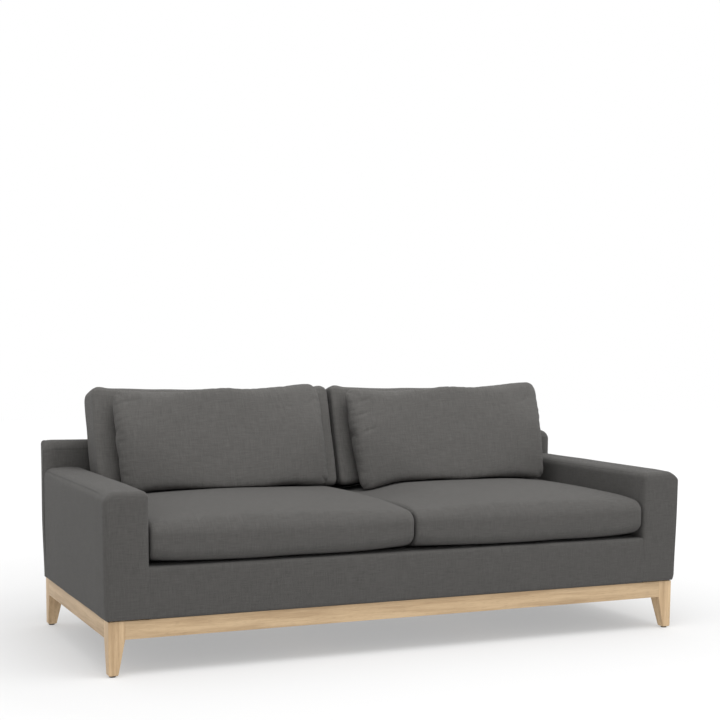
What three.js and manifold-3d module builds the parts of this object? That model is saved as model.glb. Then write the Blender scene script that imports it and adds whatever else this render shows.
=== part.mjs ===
// A three-seat sofa with two seat cushions, two leaning back cushions and two lumbar pillows,
// upholstered on a hardwood frame that stands on an oak base with four tapered legs.
// Millimetres, +Z up. X runs along the sofa (+X is the right-hand end seen from the front),
// the front faces -Y, and the origin is on the floor under the middle of the sofa.
import * as THREE from "three";
import { mergeVertices } from "three/addons/utils/BufferGeometryUtils.js";
import Module from "manifold-3d";

const wasm = await Module();
wasm.setup();

// ---- driving dimensions ----
const WIDTH = 2200;
const DEPTH = 960;
const GAP = 0.3; // between neighbouring pieces that touch on the real sofa

// oak base
const BASE_INSET = 6; // base faces behind the upholstery faces
const BASE_TOP = 182.2;
const LEG_SIDE = 55;
const LEG_FOOT = 32;
const RAIL_HEIGHT = 60;
const RAIL_THICK = 25;
const GLIDE_HEIGHT = 5;
const GLIDE_RADIUS = 11;
const EASE = 3; // chamfer around the foot
const TENON = { length: 18, thick: 10, height: 40 };
const BLOCK = { reach: 125, bottom: 130, top: 170 };
const BOLT_RADIUS = 4;
const BOLT_LENGTH = 62;

// upholstered body
const BODY_BOTTOM = 182.5;
const ARM_WIDTH = 143;
const ARM_TOP = 600;
const BACK_TOP = 706;
const BACK_THICK = 75;
const DECK_TOP = 353.5;
const PADDING = 12; // foam and fabric over the frame
const ARM_OUTER_ROUND = 32;
const ARM_INNER_ROUND = 18;
const BACK_ROUND = 24; // corners of the back seen from the front
const BACK_EDGE = 16; // rounding of its front and rear edges
const BORDER_LIP = 60; // how far the front border wraps back over the seat rail

// hardwood frame inside the body
const BOARD = 18;
const STICK = 26;
const SEAT_RAIL = { bottom: 200, top: 335, thick: 32 };
const SPRING = { count: 8, wire: 1.75, wave: 24, bends: 12 };

// loose cushions
const CUSHION_CORNER = 22;
const LEAN = THREE.MathUtils.degToRad(17);
const SEAT_CUSHION = { width: 949, depth: 876, bottom: 354, front: 497, crown: 532, rear: 523 };
const BACK_CUSHION = { thick: 142, crown: 20, bottom: 533, top: 898 };
const BACK_CUSHION_ENDS = { left: [-952, -12], right: [-1, 901] }; // along X
const PILLOW = { thick: 98, crown: 0, bottom: 541, top: 896 };
const PILLOW_ENDS = { left: [-891, -84], right: [42, 886] };

// ---- derived places ----
const HALF_W = WIDTH / 2;
const HALF_D = DEPTH / 2;
const FRONT = -HALF_D;
const BACK_FACE = HALF_D - BACK_THICK; // front face of the back
const ARM_INSIDE = HALF_W - ARM_WIDTH; // inner face of each arm
const FRAME_INSIDE = ARM_INSIDE + PADDING; // inner face of each arm's frame
const FRAME_OUTSIDE = HALF_W - PADDING - 0.5;
const FRAME_BOTTOM = BODY_BOTTOM + GAP;
const BOARD_FRONT = FRONT + PADDING + 0.5;
const ARM_REAR = BACK_FACE - GAP;

const material = (color, roughness, metalness = 0) =>
  new THREE.MeshStandardMaterial({ color, roughness, metalness });
const oak = () => material(0xc8a981, 0.55);
const hardwood = () => material(0xb99b6b, 0.75);
const steel = () => material(0xa8a9ab, 0.35, 1);
const fabric = () => material(0x5b5a58, 0.95);
const cambric = () => material(0x1d1d1e, 0.95);
const nylon = () => material(0x2b2622, 0.6);

// ---- helpers ----
function mesh(name, geometry, surface, x = 0, y = 0, z = 0) {
  const m = new THREE.Mesh(geometry, surface);
  m.name = name;
  m.position.set(x, y, z);
  return m;
}

// a board given by its lowest and highest corner
function board(name, surface, low, high) {
  const size = high.map((v, i) => v - low[i]);
  const middle = high.map((v, i) => (v + low[i]) / 2);
  return mesh(name, new THREE.BoxGeometry(...size), surface, ...middle);
}

function polygon(points) {
  return new THREE.Shape(points.map(([u, v]) => new THREE.Vector2(u, v)));
}

// a flat shape pushed out by depth, with its local axes turned to the ones given
function turned(shape, options, xAxis, yAxis, zAxis) {
  const g = new THREE.ExtrudeGeometry(shape, { bevelEnabled: false, ...options });
  const axes = [xAxis, yAxis, zAxis].map((a) => new THREE.Vector3(...a));
  return g.applyMatrix4(new THREE.Matrix4().makeBasis(...axes));
}

// a (y, z) profile run along +X from 0, and an (x, z) profile run along -Y from 0
const alongX = (shape, options) => turned(shape, options, [0, 1, 0], [0, 0, 1], [1, 0, 0]);
const alongY = (shape, options) => turned(shape, options, [1, 0, 0], [0, 0, 1], [0, -1, 0]);

function solid(geometry) {
  const g = geometry.clone();
  g.deleteAttribute("normal");
  g.deleteAttribute("uv");
  const merged = mergeVertices(g, 1e-3);
  return new wasm.Manifold(
    new wasm.Mesh({
      numProp: 3,
      vertProperties: merged.attributes.position.array,
      triVerts: new Uint32Array(merged.index.array),
    }),
  );
}

function geometryOf(manifold) {
  const m = manifold.getMesh();
  const g = new THREE.BufferGeometry();
  g.setAttribute("position", new THREE.BufferAttribute(m.vertProperties, 3));
  g.setIndex(new THREE.BufferAttribute(m.triVerts, 1));
  g.computeVertexNormals();
  return g;
}

// a box as a solid, given by its lowest and highest corner
function block(low, high) {
  const size = high.map((v, i) => v - low[i]);
  const middle = high.map((v, i) => (v + low[i]) / 2);
  return solid(new THREE.BoxGeometry(...size).translate(...middle));
}

// ---- oak base: one corner is built in the +x +y quadrant, with its outer corner at 0, 0 ----
function legProfile() {
  const railBottom = BASE_TOP - RAIL_HEIGHT;
  return polygon([
    [EASE, GLIDE_HEIGHT],
    [LEG_FOOT - EASE, GLIDE_HEIGHT],
    [LEG_FOOT, GLIDE_HEIGHT + EASE],
    [LEG_SIDE, railBottom],
    [LEG_SIDE, BASE_TOP],
    [0, BASE_TOP],
    [0, GLIDE_HEIGHT + EASE],
  ]);
}

const boltHeight = (BLOCK.bottom + BLOCK.top) / 2;
const blockFace = (BLOCK.reach + RAIL_THICK + GAP) / 2; // block's slanted face on the diagonal

// a rod on the corner's diagonal that ends at the point reach, reach
function diagonalRod(radius, length, reach, sides) {
  return new THREE.CylinderGeometry(radius, radius, length, sides)
    .rotateZ(Math.PI / 2)
    .translate(-length / 2, 0, 0)
    .rotateZ(Math.PI / 4)
    .translate(reach, reach, boltHeight);
}

function mortise(alongXAxis) {
  const from = LEG_SIDE - TENON.length - GAP;
  const side = (RAIL_THICK - TENON.thick) / 2 - GAP;
  const middle = BASE_TOP - RAIL_HEIGHT / 2;
  const z = [middle - TENON.height / 2 - GAP, middle + TENON.height / 2 + GAP];
  const wide = [side, side + TENON.thick + 2 * GAP];
  const deep = [from, LEG_SIDE + 1];
  const [x, y] = alongXAxis ? [deep, wide] : [wide, deep];
  return block([x[0], y[0], z[0]], [x[1], y[1], z[1]]);
}

function legGeometry() {
  const across = solid(
    alongY(legProfile(), { depth: LEG_SIDE }).translate(0, LEG_SIDE, 0),
  );
  const lengthways = solid(alongX(legProfile(), { depth: LEG_SIDE }));
  const boltHole = solid(diagonalRod(BOLT_RADIUS + GAP, BOLT_LENGTH, blockFace, 12));
  return geometryOf(
    across
      .intersect(lengthways)
      .subtract(mortise(true))
      .subtract(mortise(false))
      .subtract(boltHole),
  );
}

function cornerBlockGeometry() {
  const leg = LEG_SIDE + GAP;
  const rail = RAIL_THICK + GAP;
  const outline = polygon([
    [leg, rail],
    [BLOCK.reach, rail],
    [rail, BLOCK.reach],
    [rail, leg],
    [leg, leg],
  ]);
  const body = new THREE.ExtrudeGeometry(outline, {
    depth: BLOCK.top - BLOCK.bottom,
    bevelEnabled: false,
  }).translate(0, 0, BLOCK.bottom);
  const hole = solid(diagonalRod(BOLT_RADIUS + 0.5, BLOCK.reach, BLOCK.reach, 12));
  return geometryOf(solid(body).subtract(hole));
}

// hanger bolt with its washer and hexagon head against the corner block
function legBoltGeometry() {
  const face = blockFace + GAP;
  const washer = 2;
  const head = 7;
  const along = (distance) => face + distance / Math.SQRT2;
  const shank = solid(diagonalRod(BOLT_RADIUS, BOLT_LENGTH, along(0.5), 12));
  return geometryOf(
    shank
      .add(solid(diagonalRod(11, washer, along(washer), 16)))
      .add(solid(diagonalRod(7.5, head, along(washer + head - 0.1), 6))),
  );
}

function glideGeometry() {
  const height = GLIDE_HEIGHT - GAP;
  const outline = [
    [0, 0],
    [GLIDE_RADIUS - 1.2, 0],
    [GLIDE_RADIUS, 1.2],
    [GLIDE_RADIUS, height],
    [0, height],
  ].map(([r, z]) => new THREE.Vector2(r, z));
  return new THREE.LatheGeometry(outline, 20).rotateX(Math.PI / 2);
}

const CORNERS = [
  { name: "front_left", x: -1, y: -1, turn: 0 },
  { name: "front_right", x: 1, y: -1, turn: 1 },
  { name: "rear_right", x: 1, y: 1, turn: 2 },
  { name: "rear_left", x: -1, y: 1, turn: 3 },
];

function legAssembly({ name, x, y, turn }) {
  const corner = new THREE.Group();
  corner.position.set(x * (HALF_W - BASE_INSET), y * (HALF_D - BASE_INSET), 0);
  corner.rotation.z = (turn * Math.PI) / 2;
  corner.add(
    mesh(`leg_${name}`, legGeometry(), oak()),
    mesh(`glide_${name}`, glideGeometry(), nylon(), LEG_FOOT / 2, LEG_FOOT / 2, 0),
    mesh(`corner_block_${name}`, cornerBlockGeometry(), hardwood()),
    mesh(`leg_bolt_${name}`, legBoltGeometry(), steel()),
  );
  return corner;
}

// a base rail along its own X, centred, with its outer face at y = 0 and a tenon on each end
function baseRailGeometry(span) {
  const half = span / 2 - BASE_INSET - LEG_SIDE - GAP;
  const shoulder = (RAIL_THICK - TENON.thick) / 2;
  const reach = half + TENON.length;
  const rail = block([-half, 0, 0], [half, RAIL_THICK, RAIL_HEIGHT]);
  const middle = RAIL_HEIGHT / 2;
  const tenons = block(
    [-reach, shoulder, middle - TENON.height / 2],
    [reach, shoulder + TENON.thick, middle + TENON.height / 2],
  );
  return geometryOf(rail.add(tenons));
}

function baseRails() {
  const base = new THREE.Group();
  const sides = [
    { name: "front", span: WIDTH, off: HALF_D, turn: 0 },
    { name: "right", span: DEPTH, off: HALF_W, turn: 1 },
    { name: "rear", span: WIDTH, off: HALF_D, turn: 2 },
    { name: "left", span: DEPTH, off: HALF_W, turn: 3 },
  ];
  for (const { name, span, off, turn } of sides) {
    const side = new THREE.Group();
    side.rotation.z = (turn * Math.PI) / 2;
    const y = BASE_INSET - off;
    side.add(mesh(`base_rail_${name}`, baseRailGeometry(span), oak(), 0, y, BASE_TOP - RAIL_HEIGHT));
    base.add(side);
  }
  const reach = HALF_D - BASE_INSET - RAIL_THICK - GAP;
  for (const [name, x] of [["left", -360], ["right", 360]])
    base.add(
      board(`base_cross_rail_${name}`, hardwood(), [x - 15, -reach, 132], [x + 15, reach, 172]),
    );
  return base;
}

// black cloth under the seat frame, notched around the legs
function dustCover() {
  const x = HALF_W - BASE_INSET - RAIL_THICK - 1;
  const y = HALF_D - BASE_INSET - RAIL_THICK - 1;
  const notch = LEG_SIDE - RAIL_THICK + 1;
  const outline = [];
  for (const [sx, sy] of [[1, -1], [1, 1], [-1, 1], [-1, -1]]) {
    const corner = [
      [sx * (x - notch), sy * y],
      [sx * (x - notch), sy * (y - notch)],
      [sx * x, sy * (y - notch)],
    ];
    outline.push(...(sx * sy < 0 ? corner : corner.reverse()));
  }
  const sheet = new THREE.ExtrudeGeometry(polygon(outline), { depth: 1.2, bevelEnabled: false });
  return mesh("dust_cover", sheet, cambric(), 0, 0, BODY_BOTTOM - 2);
}

// ---- hardwood seat frame ----
function seatFrame() {
  const frame = new THREE.Group();
  const { bottom, top, thick } = SEAT_RAIL;
  const inside = FRAME_INSIDE - GAP;
  const rearRail = ARM_REAR - BOARD - GAP - GAP;
  const frontRail = BOARD_FRONT + thick;
  frame.add(
    board("seat_rail_front", hardwood(), [-inside, BOARD_FRONT, bottom], [inside, frontRail, top]),
    board("seat_rail_rear", hardwood(), [-inside, rearRail - thick, bottom], [inside, rearRail, top]),
    board(
      "seat_stretcher_centre",
      hardwood(),
      [-20, frontRail + GAP, bottom],
      [20, rearRail - thick - GAP, top - 35],
    ),
  );
  return frame;
}

function backFrame() {
  const frame = new THREE.Group();
  const y = [BACK_FACE + PADDING + 0.5, HALF_D - PADDING - 0.5];
  const end = FRAME_OUTSIDE - BACK_ROUND / 2;
  const bottomRail = FRAME_BOTTOM + 40;
  const topRail = BACK_TOP - PADDING - 42;
  frame.add(
    board("back_bottom_rail", hardwood(), [-end, y[0], FRAME_BOTTOM], [end, y[1], bottomRail]),
    board("back_top_rail", hardwood(), [-end, y[0], topRail], [end, y[1], topRail + 34]),
  );
  for (const [name, x] of [["left", STICK - end], ["centre", 0], ["right", end - STICK]])
    frame.add(
      board(
        `back_post_${name}`,
        hardwood(),
        [x - STICK, y[0], bottomRail + GAP],
        [x + STICK, y[1], topRail - GAP],
      ),
    );
  return frame;
}

// zigzag steel springs from the front seat rail to the rear one
function seatSprings() {
  const springs = new THREE.Group();
  const from = BOARD_FRONT + 12;
  const to = ARM_REAR - BOARD - 14;
  const height = SEAT_RAIL.top + GAP + SPRING.wire;
  const pitch = (2 * ARM_INSIDE) / SPRING.count;
  const wire = new THREE.Shape().absellipse(0, 0, SPRING.wire, SPRING.wire, 0, 2 * Math.PI);
  const bends = [];
  for (let i = 0; i <= SPRING.bends; i++) {
    const side = i % 2 ? 1 : -1;
    bends.push(new THREE.Vector3(side * SPRING.wave, from + ((to - from) * i) / SPRING.bends, 0));
  }
  for (let n = 0; n < SPRING.count; n++) {
    const geometry = new THREE.ExtrudeGeometry(wire, {
      curveSegments: 3,
      steps: SPRING.bends * 4,
      extrudePath: new THREE.CatmullRomCurve3(bends),
    });
    const x = (n + 0.5) * pitch - ARM_INSIDE;
    springs.add(mesh(`seat_spring_${n + 1}`, geometry, steel(), x, 0, height));
  }
  return springs;
}

// ---- arms: built with x = 0 at the inner face and x growing outwards, and mirrored on the left ----
// section of an arm, inset from the outside of its cover, with rounded top edges
function armSection(inset, bottom) {
  const top = ARM_TOP - inset;
  const [inner, outer] = [inset, ARM_WIDTH - inset];
  const innerRound = ARM_INNER_ROUND - inset;
  const outerRound = ARM_OUTER_ROUND - inset;
  return new THREE.Shape()
    .moveTo(inner, bottom)
    .lineTo(outer, bottom)
    .lineTo(outer, top - outerRound)
    .absarc(outer - outerRound, top - outerRound, outerRound, 0, Math.PI / 2)
    .lineTo(inner + innerRound, top)
    .absarc(inner + innerRound, top - innerRound, innerRound, Math.PI / 2, Math.PI);
}

function armFrame(name) {
  const inset = PADDING + 0.5;
  const inner = inset;
  const outer = ARM_WIDTH - inset;
  const top = ARM_TOP - inset;
  const y = [BOARD_FRONT + BOARD + GAP, ARM_REAR - BOARD - GAP];
  const wood = (part, x, z) =>
    board(`${part}_${name}`, hardwood(), [x[0], y[0], z[0]], [x[1], y[1], z[1]]);
  const end = alongY(armSection(inset, FRAME_BOTTOM), { depth: BOARD, curveSegments: 4 });
  return [
    mesh(`arm_front_board_${name}`, end, hardwood(), 0, BOARD_FRONT + BOARD, 0),
    mesh(`arm_rear_board_${name}`, end.clone(), hardwood(), 0, ARM_REAR, 0),
    wood("arm_top_board", [inner + 6, outer - 20], [top - BOARD, top]),
    wood("arm_bottom_rail", [outer - STICK, outer], [FRAME_BOTTOM, FRAME_BOTTOM + 60]),
    wood("seat_rail", [inner, inner + STICK], [SEAT_RAIL.bottom, SEAT_RAIL.top]),
  ];
}

// foam and fabric over the arm: open underneath, behind, and where the seat rail passes
function armCover(name) {
  const length = ARM_REAR - FRONT;
  const under = BODY_BOTTOM - 10;
  const skin = solid(alongY(armSection(0, BODY_BOTTOM), { depth: length, curveSegments: 5 }));
  const hollow = alongY(armSection(PADDING, under), { depth: length, curveSegments: 5 });
  const seatSide = block(
    [-1, PADDING - length, under],
    [PADDING + 1, 1, SEAT_RAIL.top + 3],
  );
  const cover = skin.subtract(solid(hollow.translate(0, PADDING, 0))).subtract(seatSide);
  return mesh(`arm_cover_${name}`, geometryOf(cover), fabric(), 0, ARM_REAR, 0);
}

function arm(name, side) {
  const group = new THREE.Group();
  group.position.x = side * ARM_INSIDE;
  group.scale.x = side;
  group.add(...armFrame(name), armCover(name));
  return group;
}

// ---- upholstery covers: foam and fabric skins over the frame, open where they are stapled ----
function backSection(inset) {
  const x = HALF_W - inset;
  const top = BACK_TOP - inset;
  const bottom = BODY_BOTTOM - (inset ? 10 : 0);
  const round = BACK_ROUND - inset;
  return new THREE.Shape()
    .moveTo(-x, bottom)
    .lineTo(x, bottom)
    .lineTo(x, top - round)
    .absarc(x - round, top - round, round, 0, Math.PI / 2)
    .lineTo(round - x, top)
    .absarc(round - x, top - round, round, Math.PI / 2, Math.PI);
}

function backCover() {
  const outer = alongY(backSection(0), {
    depth: BACK_THICK - 2 * BACK_EDGE,
    curveSegments: 5,
    bevelEnabled: true,
    bevelThickness: BACK_EDGE,
    bevelSize: BACK_EDGE,
    bevelOffset: -BACK_EDGE,
    bevelSegments: 3,
  }).translate(0, -BACK_EDGE, 0);
  const inner = alongY(backSection(PADDING), {
    depth: BACK_THICK - 2 * PADDING,
    curveSegments: 5,
  }).translate(0, -PADDING, 0);
  const cover = solid(outer).subtract(solid(inner));
  return mesh("back_cover", geometryOf(cover), fabric(), 0, HALF_D, 0);
}

function frontBorder() {
  const lipBottom = DECK_TOP - PADDING;
  const profile = polygon([
    [0, BODY_BOTTOM],
    [PADDING, BODY_BOTTOM],
    [PADDING, lipBottom],
    [BORDER_LIP, lipBottom],
    [BORDER_LIP, DECK_TOP],
    [4, DECK_TOP],
    [0, DECK_TOP - 4],
  ]);
  const half = ARM_INSIDE - GAP;
  const geometry = alongX(profile, { depth: 2 * half });
  return mesh("front_border_cover", geometry, fabric(), -half, FRONT, 0);
}

function deckPad() {
  const half = ARM_INSIDE - 0.5;
  const under = SEAT_RAIL.top + 2 * SPRING.wire + 1;
  return board(
    "deck_pad",
    fabric(),
    [-half, FRONT + BORDER_LIP + GAP, under],
    [half, ARM_REAR - GAP, DECK_TOP],
  );
}

// ---- loose cushions ----
// one soft block: a (y, z) side profile run from x0 to x1 and rounded over at both ends
function softBlock(name, profile, [x0, x1], round) {
  const inward = Math.min(round, CUSHION_CORNER / 2);
  const geometry = alongX(profile, {
    depth: x1 - x0 - 2 * round,
    curveSegments: 5,
    bevelEnabled: true,
    bevelThickness: round,
    bevelSize: inward,
    bevelOffset: -inward,
    bevelSegments: 3,
  }).translate((x0 - x1) / 2 + round, 0, 0);
  return mesh(name, geometry, fabric(), (x0 + x1) / 2, 0, 0);
}

// crowned side profile of a seat cushion, from its front face back to the sofa's back
function seatCushionProfile() {
  const { depth, bottom, front, crown, rear } = SEAT_CUSHION;
  const y0 = FRONT + 2;
  const y1 = y0 + depth;
  const corner = CUSHION_CORNER;
  return new THREE.Shape()
    .moveTo(y0 + corner, bottom)
    .lineTo(y1 - corner, bottom)
    .quadraticCurveTo(y1, bottom, y1, bottom + corner)
    .lineTo(y1, rear - corner)
    .quadraticCurveTo(y1, rear, y1 - corner, rear)
    .quadraticCurveTo((y0 + y1) / 2, 2 * crown - rear, y0 + 2 * corner, front + 6)
    .quadraticCurveTo(y0, front, y0, front - 2 * corner)
    .lineTo(y0, bottom + corner)
    .quadraticCurveTo(y0, bottom, y0 + corner, bottom);
}

// side profile of a piece that leans back: the ends of its rear face lie on a slope that
// passes the back's top edge at faceY, and the face bulges behind that slope by its crown
function leaningProfile({ thick, crown, bottom, top }, faceY, corner) {
  const rear = (z) => faceY + (z - BACK_TOP) * Math.tan(LEAN);
  const front = (z) => rear(z) - thick / Math.cos(LEAN);
  const middle = (bottom + top) / 2;
  return new THREE.Shape()
    .moveTo(front(bottom) + corner, bottom)
    .lineTo(rear(bottom) - corner, bottom)
    .quadraticCurveTo(rear(bottom), bottom, rear(bottom + corner), bottom + corner)
    .quadraticCurveTo(rear(middle) + 2 * crown, middle, rear(top - corner), top - corner)
    .quadraticCurveTo(rear(top), top, rear(top) - corner, top)
    .lineTo(front(top) + corner, top)
    .quadraticCurveTo(front(top), top, front(top - corner), top - corner)
    .lineTo(front(bottom + corner), bottom + corner)
    .quadraticCurveTo(front(bottom), bottom, front(bottom) + corner, bottom);
}

function cushions() {
  const loose = new THREE.Group();
  const backRear = BACK_FACE - BACK_CUSHION.crown - 2;
  const pillowRear = backRear - (BACK_CUSHION.thick + 3) / Math.cos(LEAN);
  const seatEnds = {
    left: [-3 - SEAT_CUSHION.width, -3],
    right: [3, 3 + SEAT_CUSHION.width],
  };
  const seat = seatCushionProfile();
  const back = leaningProfile(BACK_CUSHION, backRear, 26);
  const pillow = leaningProfile(PILLOW, pillowRear, 34);
  for (const name of ["left", "right"])
    loose.add(
      softBlock(`seat_cushion_${name}`, seat, seatEnds[name], 18),
      softBlock(`back_cushion_${name}`, back, BACK_CUSHION_ENDS[name], 22),
      softBlock(`lumbar_pillow_${name}`, pillow, PILLOW_ENDS[name], 32),
    );
  return loose;
}

// ---- the sofa ----
const sofa = new THREE.Group();
for (const corner of CORNERS) sofa.add(legAssembly(corner));
sofa.add(baseRails(), dustCover(), seatFrame(), backFrame(), seatSprings());
for (const [name, side] of [["left", -1], ["right", 1]])
  sofa.add(arm(name, side));
sofa.add(backCover(), frontBorder(), deckPad(), cushions());

export default sofa;
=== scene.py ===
"""Looks of a three-seat sofa: grey woven upholstery with loose cushions on an oak base with tapered legs.

Metres, +Z up. The sofa faces -Y, +X is its right-hand end seen from the front, and the origin
is on the floor under its middle. The sofa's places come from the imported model's boxes.
"""

import math

import bmesh
import bpy
import numpy as np
from mathutils import Matrix, Vector, noise


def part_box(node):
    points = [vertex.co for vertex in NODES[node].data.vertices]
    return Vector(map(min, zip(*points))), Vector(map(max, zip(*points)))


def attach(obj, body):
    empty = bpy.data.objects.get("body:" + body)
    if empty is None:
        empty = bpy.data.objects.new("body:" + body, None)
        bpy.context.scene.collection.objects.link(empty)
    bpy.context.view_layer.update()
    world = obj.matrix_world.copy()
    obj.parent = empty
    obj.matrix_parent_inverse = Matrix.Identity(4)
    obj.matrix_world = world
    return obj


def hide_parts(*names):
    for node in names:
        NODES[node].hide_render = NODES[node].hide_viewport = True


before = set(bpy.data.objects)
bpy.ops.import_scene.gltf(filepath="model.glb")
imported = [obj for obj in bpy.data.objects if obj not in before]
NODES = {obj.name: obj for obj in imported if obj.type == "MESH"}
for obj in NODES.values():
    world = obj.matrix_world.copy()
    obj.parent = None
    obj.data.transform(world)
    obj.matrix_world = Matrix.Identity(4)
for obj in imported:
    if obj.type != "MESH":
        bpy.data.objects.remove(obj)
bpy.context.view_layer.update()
SIDES = (("left", -1), ("right", 1))

# ---- upholstered body ----
ARM_OUTER_ROUND = 0.024  # rounding of an arm's outer top edge
ARM_CORNER_ROUND = 0.032  # and of the same edge where it meets the front
ARM_INNER_ROUND = 0.022
ARM_FRONT_ROUND = 0.020
ARM_INNER_EDGE = 0.009  # how far the inner front edge draws in
ARM_OUTER_EDGE = 0.013  # and the outer one
ARM_BULGE = {-1: (0.007, 0.003), 1: (0.013, 0.009)}  # of the outer side: all over, and more high up
ARM_CROWN = 0.006
ARM_FRONT_DOME = 0.003
ARM_RUN_ON = 0.020  # how far an arm goes on past its own box, beside the back
BACK_FRONT_ROUND = 0.034  # rounding of the back's edges
BACK_REAR_ROUND = 0.020
BACK_END_ROUND = 0.044
BACK_CORNER_TALL = 0.058  # how far the front of its upper corners comes down
BACK_REAR_CORNERS = {-1: 0.014, 1: 0.052}  # the right one is the slacker
BACK_BULGE = {-1: 0.006, 1: -0.003}  # how far its ends stand out
BORDER_REACH = 0.003  # how far the front border goes into the arms
BORDER_TOP_ROUND = 0.012
QUILT_PITCH, QUILT_DEPTH = 0.24, 0.0012
TUCK_ROUND = 0.010  # where the fabric turns under the body
LEAST_ROUND = 0.0015
SEAM_DEPTH = 0.0014
SEAM_HALF_WIDTH = 0.0022
SEAM_POINTS = 4  # points that densify adds beside a seam

# segments on a rounded_loop's straight stretches and on each of its arcs
ARM_POINTS = ((10, 34), 8)
BACK_POINTS = ((4, 40), 8)
BORDER_POINTS = ((6, 14), 6)
DECK_POINTS = ((40, 2), 4)
SEAT_POINTS = ((88, 8), 10)
BACK_CUSHION_POINTS = ((8, 32), 8)

# ---- loose cushions ----
LEAN = math.radians(17)
END_BENDS = 6  # stations round the end of a cushion
END_SEAM = END_BENDS - 1  # the last of them, where the end panel is sewn on
SEAT_EDGE_TALL = 0.137  # height of a seat cushion at its edges
SEAT_END_ROUND = 0.018
SEAT_CROWN = 0.034
SEAT_SLOPE = 0.019  # rise from the front edge to the rear
SEAT_SEAM = 0.0009
BACK_THICK = 0.142
BACK_GAP = 0.022  # between a back cushion and the back, at the back's top edge
CUSHION_END_ROUND = 0.020
BACK_PUFF_REAR, BACK_PUFF_FRONT = 0.018, 0.003
BACK_SEAM = 0.0016
BACK_SWELL = 0.003  # how far the end panels stand out
BACK_FOOT = 0.011  # how far the inner end of the foot comes down, where the seat cushions fall away
PILLOW_STEP = 0.007
PILLOW_VOLUME = 0.0235  # cubic metres
PILLOW_FRAMES = 24
PILLOW_CORNER = 0.044
PILLOW_FRONT, PILLOW_REAR = 0.060, 0.046  # from the seam to the middle of the front and of the rear
PILLOW_FOOT_Y = 0.125  # line on the seat along which a pillow stands
PILLOW_SEAM_AHEAD = 0.225  # from the back's front face to a pillow's seam, at the back's top
PUCKER, CREASE = 0.0034, 0.0040  # height of a gather and depth of a fold
CREASE_WIDTH = 0.005
SEAT_CLEARANCE = 0.003

# ---- colours ----
THREAD = 0.0011  # from one thread of the weave to the next
CLOTH_COLOUR = (0.084, 0.081, 0.077)
CLOTH_PAINTED_LIGHT = {"body": 0.88, "seat": 0.90, "back": 1.10, "pillow": 1.05}  # painted light and shade: how much lighter or darker each part's copy of the one cloth colour is painted, for the light that falls on it
OAK_LIGHT = (0.58, 0.425, 0.26)
OAK_DARK = (0.27, 0.17, 0.088)
RAIL_SHADE = 0.88  # the rails' boards are darker than the legs'


# ======================================================================
# mesh helpers
# ======================================================================
def smoothstep(low, high, value):
    t = np.clip((np.asarray(value, float) - low) / (high - low), 0, 1)
    return t * t * (3 - 2 * t)


def bowed(value, low, high):
    """1 halfway between low and high, and 0 at both and outside."""
    t = np.clip((value - low) / (high - low), 0, 1)
    return 4 * t * (1 - t)


def quarter(share):
    """How far a quarter circle of radius 1 falls short, share of the way in from its end."""
    return 1 - math.sqrt(1 - (1 - min(max(share, 0), 1)) ** 2)


def link(obj):
    bpy.context.scene.collection.objects.link(obj)
    return obj


def rounded_loop(low, high, radii, straight, arc):
    """Outline of a rounded rectangle as an (n, 2) array, anticlockwise, starting halfway round the
    arc of its lower left corner. radii go anticlockwise from there. straight is the number of
    segments on (lower and upper, right and left) straight stretches, arc the number on each arc."""
    corners = [(low[0], low[1]), (high[0], low[1]), (high[0], high[1]), (low[0], high[1])]
    inwards = [(1, 1), (-1, 1), (-1, -1), (1, -1)]
    points = []
    for i, ((cx, cy), (sx, sy), r) in enumerate(zip(corners, inwards, radii)):
        centre = np.array([cx + sx * r, cy + sy * r])
        angles = np.radians(180 + 90 * i + np.linspace(0, 90, arc + 1))
        points.extend(centre + r * np.stack([np.cos(angles), np.sin(angles)], axis=1))
        following = (i + 1) % 4
        nx, ny = corners[following]
        ax, ay = inwards[following]
        other = np.array([nx + ax * radii[following], ny + ay * radii[following]])
        turn = math.radians(180 + 90 * following)
        target = other + radii[following] * np.array([math.cos(turn), math.sin(turn)])
        count = straight[i % 2]
        start = points[-1]
        points.extend(start + (target - start) * k / count for k in range(1, count))
    return np.roll(np.array(points), -(arc // 2), axis=0)


def loop_sides(straight, arc):
    """How many segments of a rounded_loop run along its lower side and along its right side."""
    return straight[0] + arc, straight[1] + arc


def end_stations(low, high, round_low, round_high, step, bends=5):
    """Places along a sweep with the inset of the outline there, so that both ends round over."""
    turns = [math.pi / 2 * k / bends for k in range(bends)]
    bend = [(1 - math.cos(a), 1 - math.sin(a)) for a in turns]
    span = high - low - round_low - round_high
    count = max(2, round(span / step))
    first = [(low + round_low * at, round_low * inset) for at, inset in bend]
    middle = [(low + round_low + span * k / count, 0.0) for k in range(count + 1)]
    last = [(high - round_high * at, round_high * inset) for at, inset in reversed(bend)]
    return first + middle + last


def densify(grid, columns, gap):
    """Adds two columns of points on either side of each named column of a (rows, columns, 3) ring of
    points, gap and 2.5 gap away. Returns the grid and where the named columns are now."""
    n = grid.shape[1]
    out, places = [], []
    for j in range(n):
        if j not in columns:
            out.append(grid[:, j])
            continue
        for side, order in ((-1, (2.5, 1.0)), (0, ()), (1, (1.0, 2.5))):
            if side == 0:
                places.append(len(out))
                out.append(grid[:, j])
                continue
            step = grid[:, (j + side) % n] - grid[:, j]
            length = np.maximum(np.linalg.norm(step, axis=1, keepdims=True), 1e-9)
            for far in order:
                share = np.minimum(far * gap / length, 0.3 * far)
                out.append(grid[:, j] + step * share)
    return np.stack(out, axis=1), places


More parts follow.
